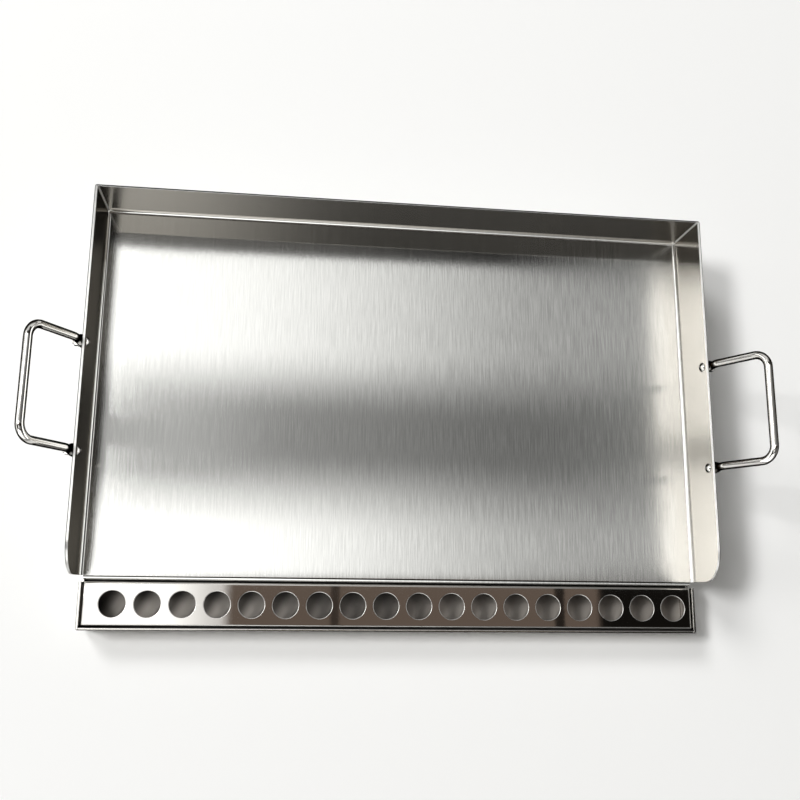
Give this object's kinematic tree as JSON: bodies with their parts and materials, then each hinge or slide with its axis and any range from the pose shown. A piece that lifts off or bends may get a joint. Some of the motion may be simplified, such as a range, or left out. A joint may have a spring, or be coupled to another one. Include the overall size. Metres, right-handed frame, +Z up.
{
  "type": "camp griddle plate",
  "caption": "Stainless steel griddle pan with tall walls and rod side handles, and a draw-out front grease trough under a lift-out perforated strainer.",
  "frame": {"origin": "on the table under the middle of the whole object", "axes": "+X to the right along the trough, +Y to the back wall, +Z up"},
  "size_m": [0.686, 0.4204, 0.153],
  "materials": {
    "pan_steel": "brushed front to back, satin",
    "frame_steel": "plain mill finish",
    "trough_steel": "plain satin",
    "strainer_steel": "mirror polished stainless steel",
    "handle_steel": "polished stainless steel rod",
    "fastener_steel": "polished stainless steel"
  },
  "bodies": {
    "griddle": {"griddle_pan": "pan_steel", "rail_left": "frame_steel", "rail_right": "frame_steel", "cross_brace": "frame_steel", "handle_left": "handle_steel", "handle_right": "handle_steel", "handle_screw_left_rear": "fastener_steel", "handle_screw_left_front": "fastener_steel", "handle_screw_right_rear": "fastener_steel", "handle_screw_right_front": "fastener_steel", "handle_washer_left_rear": "fastener_steel", "handle_washer_left_front": "fastener_steel", "handle_washer_right_rear": "fastener_steel", "handle_washer_right_front": "fastener_steel", "handle_nut_left_rear": "fastener_steel", "handle_nut_left_front": "fastener_steel", "handle_nut_right_rear": "fastener_steel", "handle_nut_right_front": "fastener_steel"},
    "trough": {"trough_channel": "trough_steel", "trough_end_left": "trough_steel", "trough_end_right": "trough_steel", "strainer_ledge_left": "trough_steel", "strainer_ledge_right": "trough_steel"},
    "strainer": {"strainer": "strainer_steel"}
  },
  "joints": [
    {"name": "trough_draw", "type": "slide", "parent": "griddle", "child": "trough", "axis": [0, -1, 0], "range_m": [0, 0.06]},
    {"name": "strainer_lift", "type": "slide", "parent": "trough", "child": "strainer", "axis": [0, 0, 1], "range_m": [0, 0.06]}
  ]
}
